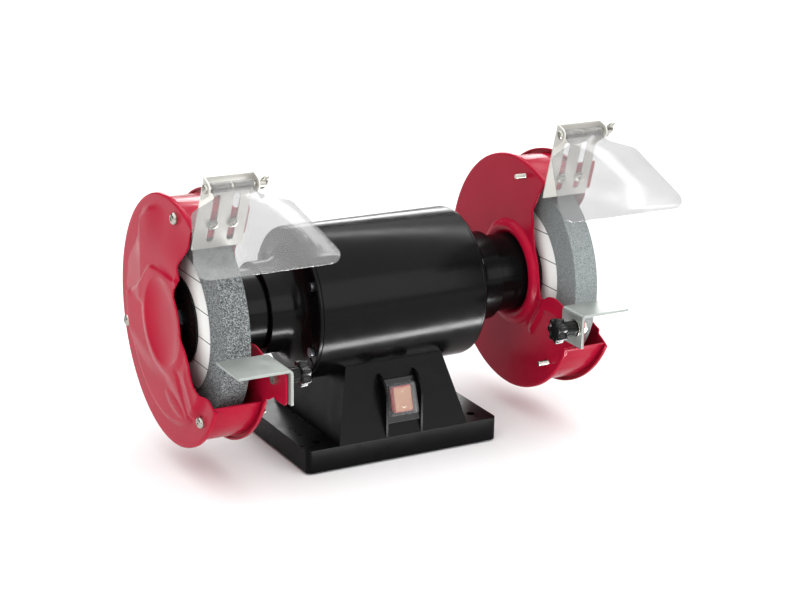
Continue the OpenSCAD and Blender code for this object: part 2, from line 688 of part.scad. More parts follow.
// ---------------------------------------------------------------- tool rests
module tool_rest(i) {
    x0 = guard_in - 0.6 - rest_t;
    u0 = -wheel_r - 1.3 - rest_back[i];
    d = rest_depth[i];
    bottom = rest_z - rest_drop;
    slot_y = shaft_y + ear_bolt[0] - rest_back[i] - 0.5;
    color([0.8, 0.8, 0.79]) side(i) difference() {
        translate([0, shaft_y + u0, 0]) rotate([90, 0, 0]) linear_extrude(d)
            polygon(concat([[x0, bottom]], [[x0 + rest_t, bottom]],
                arc_pts([x0 + rest_t + 1.5, rest_z - rest_t - 1.5], 1.5, 180, 90, 4),
                [[x0 + rest_w, rest_z - rest_t], [x0 + rest_w, rest_z]],
                arc_pts([x0 + rest_t + 1.5, rest_z - rest_t - 1.5], rest_t + 1.5, 90, 180, 6)));
        for (y = [0, 13.5]) translate([x0 - 1, slot_y + y, shaft_h + ear_bolt[1]])
            rotate([0, 90, 0]) cylinder(r = 3.3, h = rest_t + 2);
        translate([x0 - 1, slot_y, shaft_h + ear_bolt[1] - 3.3]) cube([rest_t + 2, 13.5, 6.6]);
    }
}
module left_tool_rest() tool_rest(L);
module right_tool_rest() tool_rest(R);
module rest_knob(i) {
    lobes = 7;
    lobe_depth = 1.3;
    outline = [for (a = [0:4:356]) (knob_r - lobe_depth + lobe_depth * cos(lobes * a)) * [cos(a), sin(a)]];
    color([0.08, 0.08, 0.08]) side(i) on_shaft() translate([ear_bolt[0], ear_bolt[1], 0]) difference() {
        union() {
            plate(129, 138, outline);
            translate([0, 0, 137]) cylinder(r = 7.4, h = 14.9);
        }
        translate([0, 0, 131]) cylinder(r = ear_bolt_r + 0.06, h = 30);
    }
}
module left_rest_knob() rest_knob(L);
module right_rest_knob() rest_knob(R);

base_casting();
bottom_plate();
bottom_plate_screws();
rubber_feet();
motor_mounting_screws();
motor_tube();
left_end_shield();
right_end_shield();
tie_bolts();
stator_core();
stator_windings();
bearing_outer_rings();
bearing_balls();
wave_washer();
capacitor();
capacitor_clip();
terminal_block();
cable_gland();
switch_frame();
switch_boot();
switch_rocker();
left_guard_housing();
right_guard_housing();
left_guard_cover();
right_guard_cover();
left_cover_screws();
right_cover_screws();
guard_mounting_screws();
left_deflector_screws();
right_deflector_screws();
left_rest_bolt();
right_rest_bolt();
rest_washers();
spindle();
rotor_core();
bearing_inner_rings();
left_wheel();
right_wheel();
left_wheel_bush();
right_wheel_bush();
left_wheel_labels();
right_wheel_labels();
left_wheel_flanges();
right_wheel_flanges();
left_spindle_nut();
right_spindle_nut();
left_spark_deflector();
right_spark_deflector();
left_shield_bolt();
right_shield_bolt();
left_wing_nut();
right_wing_nut();
left_eye_shield();
right_eye_shield();
left_tool_rest();
right_tool_rest();
left_rest_knob();
right_rest_knob();
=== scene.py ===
import math

import bmesh
import bpy
import numpy as np
from mathutils import Matrix, Vector
from mathutils.geometry import delaunay_2d_cdt


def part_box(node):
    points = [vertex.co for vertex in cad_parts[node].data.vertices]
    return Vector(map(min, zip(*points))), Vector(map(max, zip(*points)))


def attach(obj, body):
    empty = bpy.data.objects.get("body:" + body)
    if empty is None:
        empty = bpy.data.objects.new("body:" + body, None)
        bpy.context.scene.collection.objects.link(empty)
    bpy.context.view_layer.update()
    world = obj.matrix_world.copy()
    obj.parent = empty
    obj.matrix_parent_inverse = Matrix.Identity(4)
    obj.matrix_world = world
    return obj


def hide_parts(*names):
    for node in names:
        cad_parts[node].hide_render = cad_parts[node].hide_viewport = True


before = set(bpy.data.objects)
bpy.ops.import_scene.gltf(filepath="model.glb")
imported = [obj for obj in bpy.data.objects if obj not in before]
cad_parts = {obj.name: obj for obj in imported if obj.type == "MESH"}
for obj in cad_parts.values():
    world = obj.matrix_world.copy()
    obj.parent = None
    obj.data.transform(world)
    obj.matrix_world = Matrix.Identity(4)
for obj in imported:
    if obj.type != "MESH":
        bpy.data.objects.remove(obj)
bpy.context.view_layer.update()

# Looks of a double-ended bench grinder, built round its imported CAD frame.
# Sizes are in millimetres until a piece is made. The floor, the lights and the camera's distance are
# in metres. Named angles are in degrees, but for FACE_LEAN. About the spindle, a point is (x, u, v):
# x along the spindle to the right, u back and v up from its axis.

MM = 0.001
LEFT, RIGHT = -1, 1
SIDES = {"left": LEFT, "right": RIGHT}


def box_mm(node):
    low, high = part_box(node)
    return low / MM, high / MM


spindle_low, spindle_high = box_mm("spindle")
AXIS_Y = (spindle_low.y + spindle_high.y) / 2
AXIS_Z = (spindle_low.z + spindle_high.z) / 2

# Guards
GUARD_IN = 157  # motor-side face of the inner plate
GUARD_OUT = 208  # outer face of the cover's flat rim
SHEET = 1.8
PLATE_R = 116.2  # where a plate turns over into its rim
BAND_R = 113
OPEN_TOP, OPEN_BOTTOM = 60, -28.5
SCREW_RING_R = 105
COVER_SCREW_ANGLES = (77.5, -44, -164)

# Deflectors, as (left, right)
DEFLECTOR = {
    "left": {"lean": 23, "raise": 2.5, "x": -185.6},
    "right": {"lean": 16, "raise": 9, "x": 176},
}
DEFLECTOR_FOOT = (-60, 82)
DEFLECTOR_T = 1.6
HINGE_S, HINGE_OUT = 72.5, 9  # up a deflector's plate, and out from it
CLAMP_S, CLAMP_X = 29, (-8, 11)  # up the plate, and along it
SHIELD_SLOPE = {"left": 33, "right": 38}  # down from level, towards the front
SHIELD_LEN, SHIELD_T = 99, 2.5

WHEEL_R, WHEEL_X, WHEEL_T = 100, 182.5, 25
EAR_BOLT = (-127, -21.5)
EAR_FRONT = {"left": -147, "right": -134}

# The pedestal's sloping front, which carries the switch, goes back 23.2 over a height of 68.7
PEDESTAL_FRONT, BASE_TOP = -79.7, 24.3
FACE_LEAN = math.atan2(23.2, 68.7)  # in radians


# ------------------------------------------------------------ shapes
class Shape:
    """Points in millimetres in the row frame, and the faces between them."""

    def __init__(self, points=(), faces=()):
        self.points = [Vector(p) for p in points]
        self.faces = [tuple(f) for f in faces]

    def __iadd__(self, other):
        n = len(self.points)
        self.points += other.points
        self.faces += [tuple(i + n for i in f) for f in other.faces]
        return self

    def moved(self, matrix):
        return Shape([matrix @ p for p in self.points], self.faces)


def about_spindle(x, u, v):
    return Vector((x, AXIS_Y + u, AXIS_Z + v))


def polar(r, angle):
    """(u, v) at radius r, at an angle up from the front."""
    a = math.radians(angle)
    return (-r * math.cos(a), r * math.sin(a))


def arc(centre, r, a0, a1, n=8):
    return [
        (centre[0] + r * math.cos(math.radians(a0 + (a1 - a0) * i / n)),
         centre[1] + r * math.sin(math.radians(a0 + (a1 - a0) * i / n)))
        for i in range(n + 1)
    ]


def loft(loops, closed=True, caps=True):
    """Skins a list of loops of the same length. Ends are capped unless the stack is closed on itself."""
    n = len(loops[0])
    shape = Shape([p for loop in loops for p in loop])
    last = n if closed else n - 1
    for k in range(len(loops) - 1):
        for i in range(last):
            j = (i + 1) % n
            shape.faces.append((k * n + i, k * n + j, (k + 1) * n + j, (k + 1) * n + i))
    if caps:
        top = (len(loops) - 1) * n
        shape.faces += [tuple(reversed(range(n))), tuple(range(top, top + n))]
    return shape


def lathe(profile, place, segments=128, sweep=360.0, start=0.0):
    """Turns a closed outline of (radius, along) points; place(along, u, v) puts a point in the row frame."""
    whole = abs(sweep - 360) < 1e-6
    steps = segments if whole else segments + 1
    loops = []
    for k in range(steps):
        a = start + sweep * k / segments
        loops.append([place(along, *polar(r, a)) for r, along in profile])
    if whole:
        loops.append(loops[0])
        shape = loft(loops, caps=False)
        n = len(profile)
        wrap = {len(loops[0]) * segments + i: i for i in range(n)}
        shape.faces = [tuple(wrap.get(i, i) for i in f) for f in shape.faces]
        shape.points = shape.points[: n * segments]
        return shape
    return loft(loops)


def rounded(points, radius, n=5):
    """A polygon with its corners rounded; radius may be one number or one per corner."""
    made = []
    count = len(points)
    for i, p in enumerate(points):
        r = radius[i] if hasattr(radius, "__len__") else radius
        p, before, after = Vector(p), Vector(points[i - 1]), Vector(points[(i + 1) % count])
        to_before, to_after = (before - p), (after - p)
        if r <= 0:
            made.append(tuple(p))
            continue
        reach = min(r, to_before.length * 0.49, to_after.length * 0.49)
        a, b = p + to_before.normalized() * reach, p + to_after.normalized() * reach
        for k in range(n + 1):
            t = k / n
            made.append(tuple(a * (1 - t) ** 2 + p * 2 * t * (1 - t) + b * t**2))
    return made


def smooth_path(points, step):
    """A curve through the points, with about one point every step."""
    pts = [np.array(p, float) for p in points]
    pts = [2 * pts[0] - pts[1], *pts, 2 * pts[-1] - pts[-2]]
    made = []
    for i in range(1, len(pts) - 2):
        p0, p1, p2, p3 = pts[i - 1 : i + 3]
        n = max(1, round(float(np.linalg.norm(p2 - p1)) / step))
        m1, m2 = (p2 - p0) / 2, (p3 - p1) / 2
        length = np.linalg.norm(p2 - p1)
        m1 *= length / max(np.linalg.norm(m1), 1e-6) * 0.8
        m2 *= length / max(np.linalg.norm(m2), 1e-6) * 0.8
        for k in range(n):
            t = k / n
            made.append(
                (2 * t**3 - 3 * t**2 + 1) * p1 + (t**3 - 2 * t**2 + t) * m1
                + (3 * t**2 - 2 * t**3) * p2 + (t**3 - t**2) * m2
            )
    made.append(pts[-2])
    return [tuple(p) for p in made]


def outward(loop):
    """Unit normals out of a counter-clockwise loop."""
    p = np.array(loop, float)
    d = np.roll(p, -1, 0) - np.roll(p, 1, 0)
    n = np.stack([d[:, 1], -d[:, 0]], 1)
    return n / np.linalg.norm(n, axis=1)[:, None]


def inside(points, loop):
    """Which points lie inside a loop."""
    x, y = points[:, 0], points[:, 1]
    result = np.zeros(len(points), bool)
    q = np.array(loop, float)
    for (x0, y0), (x1, y1) in zip(q, np.roll(q, -1, 0)):
        if y0 == y1:
            continue
        crosses = (y0 > y) != (y1 > y)
        result ^= crosses & (x < (x1 - x0) * (y - y0) / (y1 - y0) + x0)
    return result


def gap_to(points, loop):
    """Distance from each point to the nearest vertex of a loop."""
    q = np.array(loop, float)
    return np.sqrt(((points[:, None, :] - q[None, :, :]) ** 2).sum(2)).min(1)


def pressed_sheet(outline, edges, rise, place, holes=(), radii=(), spacing=1.8):
    """A stamped sheet. outline runs counter-clockwise and edges has, for each of its points, the steps
    (outwards, down) of its turned edge. rise(u, v) is the height of its outer face, and
    place(u, v, height) puts a point in the row frame. radii are the rings its inner points lie on."""
    rings = []
    for r in radii:
        n = max(8, round(2 * math.pi * r / spacing))
        a = (np.arange(n) + (0.5 if len(rings) % 2 else 0)) * 2 * math.pi / n
        rings.append(np.stack([r * np.cos(a), r * np.sin(a)], 1))
    free = np.concatenate(rings)
    keep = inside(free, outline) & (gap_to(free, outline) > spacing * 0.55)
    for hole in holes:
        keep &= ~inside(free, hole) & (gap_to(free, hole) > spacing * 0.4)
    loops = [outline, *holes]
    fixed = [p for loop in loops for p in loop]
    points = [Vector(p) for p in fixed] + [Vector(p) for p in free[keep]]
    constraints, start = [], 0
    for loop in loops:
        constraints += [(start + i, start + (i + 1) % len(loop)) for i in range(len(loop))]
        start += len(loop)
    verts, _, faces, origin, _, _ = delaunay_2d_cdt(points, constraints, [], 1, 1e-6)
    place_of = {}
    for new, olds in enumerate(origin):
        for old in olds:
            place_of[old] = new
    flat = np.array([tuple(v) for v in verts])
    centres = np.array([flat[list(f)].mean(0) for f in faces])
    solid = np.ones(len(faces), bool)
    for hole in holes:
        solid &= ~inside(centres, hole)
    faces = [f for f, good in zip(faces, solid) if good]
    high = rise(flat[:, 0], flat[:, 1])
    n = len(flat)
    shape = Shape(
        [place(u, v, h) for (u, v), h in zip(flat, high)]
        + [place(u, v, h - SHEET) for (u, v), h in zip(flat, high)],
        [tuple(f) for f in faces] + [tuple(i + n for i in reversed(f)) for f in faces],
    )
    start = 0
    for which, loop in enumerate(loops):
        sign = 1 if which == 0 else -1
        normals = outward(loop) * sign
        at = [place_of[start + i] for i in range(len(loop))]
        profile = edges if which == 0 else [FREE_EDGE] * len(loop)
        rows = [at]
        for k in range(1, len(FREE_EDGE) - 1):
            first = len(shape.points)
            for i, (u, v) in enumerate(loop):
                out, down = profile[i][k]
                shape.points.append(
                    place(u + normals[i][0] * out, v + normals[i][1] * out, high[at[i]] - down)
                )
            rows.append(list(range(first, first + len(loop))))
        rows.append([a + n for a in at])
        for upper, lower in zip(rows, rows[1:]):
            for i in range(len(loop)):
                j = (i + 1) % len(loop)
                shape.faces.append((upper[i], upper[j], lower[j], lower[i]))
        start += len(loop)
    return shape


# The steps (outwards, down) across the sheet's edge: a plain cut edge, and the turned-over rim
FREE_EDGE = [
    (0, 0), (0.35, 0.07), (0.64, 0.26), (0.83, 0.6), (0.83, 1.2), (0.64, 1.54), (0.35, 1.73), (0, 1.8)
]
RIM_EDGE = [(0, 0), (0.9, 0.24), (1.56, 0.9), (1.8, 1.8), (1.8, 3.9), (0.9, 4.2), (0.1, 3.9), (0, 1.8)]


# ------------------------------------------------------------ materials
def shader(name, base, roughness, metallic=0.0, **sockets):
    """A new material with its values on the shader, and its node helpers."""
    mat = bpy.data.materials.new(name)
    mat.use_nodes = True
    tree = mat.node_tree
    principled = tree.nodes["Principled BSDF"]
    principled.inputs["Base Color"].default_value = (*base, 1)
    principled.inputs["Roughness"].default_value = roughness
    principled.inputs["Metallic"].default_value = metallic
    for socket, value in sockets.items():
        principled.inputs[socket.replace("_", " ")].default_value = value
    mat.diffuse_color = (*base, 1)
    return mat, tree, principled


def coordinates(tree, stretch=(1, 1, 1)):
    texco = tree.nodes.new("ShaderNodeTexCoord")
    mapping = tree.nodes.new("ShaderNodeMapping")
    mapping.inputs["Scale"].default_value = stretch
    tree.links.new(texco.outputs["Object"], mapping.inputs["Vector"])
    return mapping.outputs["Vector"]


def noise(tree, vector, per_metre, detail=3.0, roughness=0.5):
    node = tree.nodes.new("ShaderNodeTexNoise")
    node.inputs["Scale"].default_value = per_metre
    node.inputs["Detail"].default_value = detail
    node.inputs["Roughness"].default_value = roughness
    tree.links.new(vector, node.inputs["Vector"])
    return node.outputs["Fac"]


def remap(tree, value, low, high, from_low=0.3, from_high=0.7):
    node = tree.nodes.new("ShaderNodeMapRange")
    node.inputs["From Min"].default_value = from_low
    node.inputs["From Max"].default_value = from_high
    node.inputs["To Min"].default_value = low
    node.inputs["To Max"].default_value = high
    tree.links.new(value, node.inputs["Value"])
    return node.outputs["Result"]


def ramp(tree, value, stops):
    node = tree.nodes.new("ShaderNodeValToRGB")
    elements = node.color_ramp.elements
    elements[0].position, elements[0].color = stops[0][0], (*stops[0][1], 1)
    elements[1].position, elements[1].color = stops[-1][0], (*stops[-1][1], 1)
    for position, colour in stops[1:-1]:
        elements.new(position).color = (*colour, 1)
    tree.links.new(value, node.inputs["Fac"])
    return node.outputs["Color"]


def bump(tree, principled, height, distance_mm, strength=1.0, socket="Normal"):
    node = tree.nodes.new("ShaderNodeBump")
    node.inputs["Strength"].default_value = strength
    node.inputs["Distance"].default_value = distance_mm * MM
    tree.links.new(height, node.inputs["Height"])
    tree.links.new(node.outputs["Normal"], principled.inputs[socket])


def tints(colour, amount):
    """A darker and a lighter version of a colour."""
    return tuple(c * (1 - amount) for c in colour), tuple(min(1, c * (1 + amount)) for c in colour)


def painted(name, base, roughness, peel_mm=0.02, peel_scale=260, variation=0.06, **sockets):
    """Sprayed paint: a slight orange peel, and faint changes of gloss and tone."""
    mat, tree, principled = shader(name, base, roughness, **sockets)
    vector = coordinates(tree)
    broad = noise(tree, vector, 18, 4)
    dark, light = tints(base, variation)
    tree.links.new(ramp(tree, broad, [(0.3, dark), (0.7, light)]), principled.inputs["Base Color"])
    tree.links.new(
        remap(tree, noise(tree, vector, 60, 5), roughness * 0.85, roughness * 1.2),
        principled.inputs["Roughness"],
    )
    bump(tree, principled, noise(tree, vector, peel_scale, 2), peel_mm)
    return mat


def plated(name, base, roughness, stretch=(1, 1, 1), grain_mm=0.012, metallic=1.0, cloud=0.08):
    """Zinc-plated or ground metal: fine lines along one direction, and cloudy patches."""
    mat, tree, principled = shader(name, base, roughness, metallic)
    lines = noise(tree, coordinates(tree, stretch), 900, 3, 0.6)
    clouds = noise(tree, coordinates(tree), 45, 5, 0.6)
    dark, light = tints(base, cloud)
    tree.links.new(ramp(tree, clouds, [(0.3, dark), (0.7, light)]), principled.inputs["Base Color"])
    tree.links.new(
        remap(tree, clouds, roughness * 0.75, roughness * 1.3), principled.inputs["Roughness"]
    )
    bump(tree, principled, lines, grain_mm)
    return mat


def plastic(name, base, roughness, grain_mm=0.015, grain_scale=1400, **sockets):
    """Moulded plastic with a fine even grain."""
    mat, tree, principled = shader(name, base, roughness, **sockets)
    vector = coordinates(tree)
    dark, light = tints(base, 0.08)
    tree.links.new(
        ramp(tree, noise(tree, vector, 40, 4), [(0.3, dark), (0.7, light)]), principled.inputs["Base Color"]
    )
    tree.links.new(
        remap(tree, noise(tree, vector, 90, 4), roughness * 0.85, roughness * 1.15),
        principled.inputs["Roughness"],
    )
    bump(tree, principled, noise(tree, vector, grain_scale, 2), grain_mm)
    return mat


def stone(name, dark, mid, light, per_metre):
    """Bonded abrasive: grains of three tones, each a little proud or sunk."""
    mat, tree, principled = shader(name, mid, 0.85)
    vector = coordinates(tree)
    cells = tree.nodes.new("ShaderNodeTexVoronoi")
    cells.inputs["Scale"].default_value = per_metre
    tree.links.new(vector, cells.inputs["Vector"])
    grey = tree.nodes.new("ShaderNodeSeparateColor")
    tree.links.new(cells.outputs["Color"], grey.inputs["Color"])
    tree.links.new(
        ramp(tree, grey.outputs["Red"], [(0.05, dark), (0.5, mid), (0.95, light)]),
        principled.inputs["Base Color"],
    )
    fine = noise(tree, vector, per_metre * 0.9, 4, 0.7)
    bump(tree, principled, fine, 0.5, 0.8)
    return mat


def label_paper():
    """White paper crossed by thin dark rules, level when the wheel is at rest."""
    rule_gap_mm, half_rule_mm, lowest_mm = 26, 0.45, -4
    mat, tree, principled = shader("label_paper", (0.80, 0.80, 0.78), 0.55)
    texco = tree.nodes.new("ShaderNodeTexCoord")
    split = tree.nodes.new("ShaderNodeSeparateXYZ")
    tree.links.new(texco.outputs["Object"], split.inputs["Vector"])

    def maths(operation, *values):
        node = tree.nodes.new("ShaderNodeMath")
        node.operation = operation
        for slot, value in zip(node.inputs, values):
            if isinstance(value, (int, float)):
                slot.default_value = value
            else:
                tree.links.new(value, slot)
        return node.outputs["Value"]

    height = maths("SUBTRACT", split.outputs["Z"], (AXIS_Z + lowest_mm) * MM)
    rows = maths("DIVIDE", height, rule_gap_mm * MM)
    off = maths("ABSOLUTE", maths("SUBTRACT", rows, maths("ROUND", rows)))
    ink = ramp(
        tree, maths("MULTIPLY", off, rule_gap_mm / half_rule_mm / 2),
        [(0.4, (0.02, 0.02, 0.02)), (0.6, (0.80, 0.80, 0.78))],
    )
    tree.links.new(ink, principled.inputs["Base Color"])
    bump(tree, principled, noise(tree, coordinates(tree), 700, 4), 0.03)
    return mat


def clear_plastic(name, tone, opacity):
    """Thin clear plastic with a shiny skin and a faint uneven fog: opacity is the least and the most."""
    mat, tree, principled = shader(name, (tone, tone, tone), 0.12)
    vector = coordinates(tree)
    tree.links.new(remap(tree, noise(tree, vector, 14, 2), *opacity), principled.inputs["Alpha"])
    bump(tree, principled, noise(tree, vector, 30, 3), 0.05)
    return mat


RED = painted("red_paint", (0.40, 0.006, 0.030), 0.22, peel_mm=0.004, Specular_IOR_Level=0.06)
BLACK = painted("black_paint", (0.0026, 0.0026, 0.0028), 0.2, peel_mm=0.004, Specular_IOR_Level=0.09)
CAST = painted(
    "black_casting", (0.0026, 0.0026, 0.0028), 0.3, peel_mm=0.012, peel_scale=420, Specular_IOR_Level=0.07
)
PALE = plated("pale_plate", (0.56, 0.55, 0.51), 0.42, stretch=(1, 0.05, 1), metallic=0.35, cloud=0.03)
REST = plated(
    "rest_plate", (0.34, 0.365, 0.345), 0.42, stretch=(0.05, 1, 1), grain_mm=0.004, metallic=0.5, cloud=0.03
)
ZINC = plated("zinc", (0.40, 0.39, 0.35), 0.24)
BRIGHT = plated("ground_steel", (0.62, 0.62, 0.63), 0.2, stretch=(0.1, 1, 1))
DARK_STEEL = plated("dark_steel", (0.10, 0.10, 0.11), 0.35)
CORE = plated("core_steel", (0.36, 0.36, 0.38), 0.5)
COPPER = plated("copper", (0.72, 0.33, 0.16), 0.35)
COARSE = stone("coarse_stone", (0.03, 0.034, 0.035), (0.11, 0.122, 0.125), (0.36, 0.385, 0.39), 1350)
FINE = stone("fine_stone", (0.14, 0.160, 0.160), (0.23, 0.255, 0.255), (0.35, 0.38, 0.38), 1900)
PAPER = label_paper()
RUBBER = plastic("black_rubber", (0.008, 0.008, 0.008), 0.75, grain_mm=0.04, Specular_IOR_Level=0.2)
KNOB = plastic("black_plastic", (0.0045, 0.0045, 0.0045), 0.28, Specular_IOR_Level=0.22)
BEZEL = plastic("bezel_plastic", (0.005, 0.005, 0.0055), 0.3, Specular_IOR_Level=0.25)
WHITE = plastic("white_plastic", (0.78, 0.78, 0.74), 0.45)
ROCKER_SIDE = plastic("rocker_side", (0.38, 0.006, 0.010), 0.3)
# The rocker is red all through; its face's pale orange is painted light, the lit look of the red front.
ROCKER_LIT = plastic("rocker_lit_face", (0.42, 0.18, 0.085), 0.3)
MARK = plastic("mark_print", (0.85, 0.75, 0.60), 0.5)
BOOT = clear_plastic("clear_boot", 0.45, (0.08, 0.14))
SHIELD = clear_plastic("clear_shield", 0.20, (0.34, 0.46))


# ------------------------------------------------------------ making pieces
def solid_mesh(name, shape, crease):
    mesh = bpy.data.meshes.new(name)
    mesh.from_pydata([tuple(p * MM) for p in shape.points], [], shape.faces)
    work = bmesh.new()
    work.from_mesh(mesh)
    bmesh.ops.remove_doubles(work, verts=work.verts, dist=1e-7)
    bmesh.ops.recalc_face_normals(work, faces=work.faces)
    work.to_mesh(mesh)
    work.free()
    mesh.polygons.foreach_set("use_smooth", [True] * len(mesh.polygons))
    mesh.set_sharp_from_angle(angle=math.radians(crease))
    return mesh


def add_bevel(piece, width_mm, segments=3, angle=32):
    bevel = piece.modifiers.new("edge", "BEVEL")
    bevel.width = width_mm * MM
    bevel.segments = segments
    bevel.limit_method = "ANGLE"
    bevel.angle_limit = math.radians(angle)
    bevel.harden_normals = True


def make(name, shape, material, body, replaces=(), crease=38, edge_mm=0):
    mesh = solid_mesh(name, shape, crease)
    piece = bpy.data.objects.new(name, mesh)
    bpy.context.scene.collection.objects.link(piece)
    mesh.materials.append(material)
    if edge_mm:
        add_bevel(piece, edge_mm)
    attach(piece, body)
    if replaces:
        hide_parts(*replaces)
    return piece


def dress(material, *nodes, edge_mm=0.3, angle=32):
    """Keeps CAD nodes as they are, with a finished material and softened edges."""
    for node in nodes:
        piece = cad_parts[node]
        mesh = piece.data
        mesh.materials.clear()
        mesh.materials.append(material)
        for extra in ("custom_normal", "sharp_edge", "sharp_face"):
            if extra in mesh.attributes:
                mesh.attributes.remove(mesh.attributes[extra])
        mesh.polygons.foreach_set("use_smooth", [True] * len(mesh.polygons))
        weld = piece.modifiers.new("weld", "WELD")
        weld.merge_threshold = 1e-6
        if edge_mm:
            add_bevel(piece, edge_mm, 2, angle)


def screw_head(r, h, recess=True, tail=1.0):
    """A pan head with a cross recess, on +z, with its seat at the origin."""
    round_over = h * 0.72
    dome = [(r, -0.02), (r, h - round_over)]
    dome += [(x, y) for x, y in arc((r - round_over, h - round_over), round_over, 12, 78, 6)]
    dome += [(r - round_over - 0.2, h), (r * 0.4, h + r * 0.03)]
    flat = [(0.01, h + r * 0.035), (0.01, -tail), (r * 0.5, -tail), (r * 0.5, -0.02)]
    shape = lathe(dome + flat, lambda a, u, v: Vector((u, v, a)), 48)
    if not recess:
        return shape
    arm, half = r * 0.56, r * 0.12

    def cross(scale, z):
        a, b = arm * scale, half * (0.4 + 0.6 * scale)
        plan = [(a, -b), (a, b), (b, b), (b, a), (-b, a), (-b, b)]
        plan += [(-x, -y) for x, y in plan]
        return [Vector((x, y, z)) for x, y in plan]

    cutter = loft([cross(0.25, h * 0.3), cross(1.0, h + r * 0.1)])
    return carved(shape, cutter)


def carved(shape, cutter):
    """shape with cutter taken away."""
    pair = []
    for part in (shape, cutter):
        mesh = solid_mesh("carving", part, 40)
        piece = bpy.data.objects.new("carving", mesh)
        bpy.context.scene.collection.objects.link(piece)
        pair.append(piece)
    cut = pair[0].modifiers.new("cut", "BOOLEAN")
    cut.operation, cut.solver, cut.object = "DIFFERENCE", "EXACT", pair[1]
    bpy.context.view_layer.update()
    result = pair[0].evaluated_get(bpy.context.evaluated_depsgraph_get()).to_mesh()
    made = Shape([v.co / MM for v in result.vertices], [tuple(p.vertices) for p in result.polygons])
    pair[0].to_mesh_clear()
    for piece in pair:
        mesh = piece.data
        bpy.data.objects.remove(piece)
        bpy.data.meshes.remove(mesh)
    return made


def threaded(r, length, pitch=0.8):
    """A threaded rod on +z from the origin, as ridges, with a rounded tip."""
    profile = [(0.01, 0.0), (r, 0.0)]
    turns = int((length - 0.8) / pitch)
    for k in range(turns):
        z = 0.2 + k * pitch
        profile += [(r, z), (r - 0.32, z + pitch * 0.5)]
    profile += [(r, 0.2 + turns * pitch), (r - 0.5, length), (0.01, length)]
    return lathe(profile, lambda a, u, v: Vector((u, v, a)), 24)


def frame_at(origin, z_axis, x_hint=(0, 0, 1)):
    """A matrix that puts a shape's z along z_axis at origin."""
    z = Vector(z_axis).normalized()
    x = Vector(x_hint)
    x = (x - z * x.dot(z)).normalized()
    y = z.cross(x)
    return Matrix.Translation(Vector(origin)) @ Matrix((x, y, z)).transposed().to_4x4()


# ------------------------------------------------------------ guards
def rim_run():
    """The plates' round part, from the lower front corner round the back to the upper front corner."""
    count = 190
    first, last = OPEN_BOTTOM, OPEN_TOP - 360
    return [polar(PLATE_R, first + (last - first) * k / count) for k in range(count + 1)]


def line_distance(u, v, a, b):
    """Distance along and across a line from a to b, along as a share of its length."""
    a, b = np.array(a, float), np.array(b, float)
    d = b - a
    length = np.linalg.norm(d)
    along = ((u - a[0]) * d[0] + (v - a[1]) * d[1]) / length**2
    across = ((u - a[0]) * d[1] - (v - a[1]) * d[0]) / length
    return along, across


def step_up(value, low, high):
    t = np.clip((value - low) / (high - low), 0, 1)
    return t * t * (3 - 2 * t)


def ridge(u, v, a, b, half_width, height):
    """A rounded fold along a line, fading at its ends."""
    along, across = line_distance(u, v, a, b)
    ends = step_up(along, -0.12, 0.12) * (1 - step_up(along, 0.88, 1.12))
    return height * np.exp(-((across / half_width) ** 2)) * ends


def eased(x, xs, ys):
    """Piecewise curve through the points (xs, ys) that is level at each of them."""
    xs, ys = np.array(xs, float), np.array(ys, float)
    k = np.clip(np.searchsorted(xs, x) - 1, 0, len(xs) - 2)
    t = np.clip((x - xs[k]) / (xs[k + 1] - xs[k]), 0, 1)
    return ys[k] + (ys[k + 1] - ys[k]) * t * t * (3 - 2 * t)


def cover_rise(u, v):
    """Height of a guard cover's stamped face above its flat rim."""
    r = np.hypot(u, v)
    # the upper face, with a crescent facet that falls to the rim behind a straight upright fold
    facet_u = eased(v, [2, 25, 71.5, 92], [107, 100.6, 69, 57])
    facet = np.clip((u - 57.0) / np.maximum(facet_u - 57.0, 1.0), 0, 1)
    back = step_up(u, 0, 45)
    upper = 4.4 * (1 - facet) * (1 - step_up(r, 100, 110)) * (1 - (1 - back) * step_up(r, 58, 108))
    lower = 3.4 * (1 - step_up(r, 91, 98))
    in_upper = step_up(v, 2, 8)
    plateau = upper * in_upper + lower * (1 - in_upper)
    # a broad beam crosses the face level with the spindle
    beam = 46  # half its height over the spindle
    top_back = beam + (-26 - (u - 59) * 0.47) * step_up(u, 22, 62)
    top = np.where(u > 0, top_back, beam + np.clip(-u - 10, 0, 60) * 0.05)
    bottom = np.where(u > 0, -beam + 12 * step_up(u, 30, 90), -beam + 0.45 * u)
    across = (1 - step_up(v, top - 1.5, top + 2.2)) * step_up(v, bottom - 16, bottom + 6)
    rise = plateau + 2.2 * across * (1 - step_up(r, 94, 102))
    # the dish round the spindle, inside a raised ring
    lip_r, lip, floor = 41.6, 6.8, 1.5
    bowl = floor + (lip - floor) * np.clip(r / lip_r, 0, 1) ** 3
    outer = step_up(r, lip_r + 1.6, lip_r + 12)
    rise = np.where(r < lip_r, bowl, lip + (rise - lip) * outer)
    # a shallow lens and folds below and beside the dish
    along, off = line_distance(u, v, (2, -68), (-42, -79.5))
    lens = np.clip(1 - ((along - 0.5) / 0.5) ** 2 - (off / 7.5) ** 2, 0, 1)
    rise = rise + 1.5 * lens**0.7
    rise = rise + ridge(u, v, (-31, -40), (-64, -92), 4.0, -1.5)
    rise = rise + ridge(u, v, (-46, -34), (-70, -66), 5.0, 0.8)
    rise = rise + ridge(u, v, (-28, 50), (-38, 44), 2.2, 0.8)
    rise = rise + ridge(u, v, (66, 17), (98, 1.5), 2.4, -0.8)
    return np.clip(rise, 0, 6.8) * (r < 114)


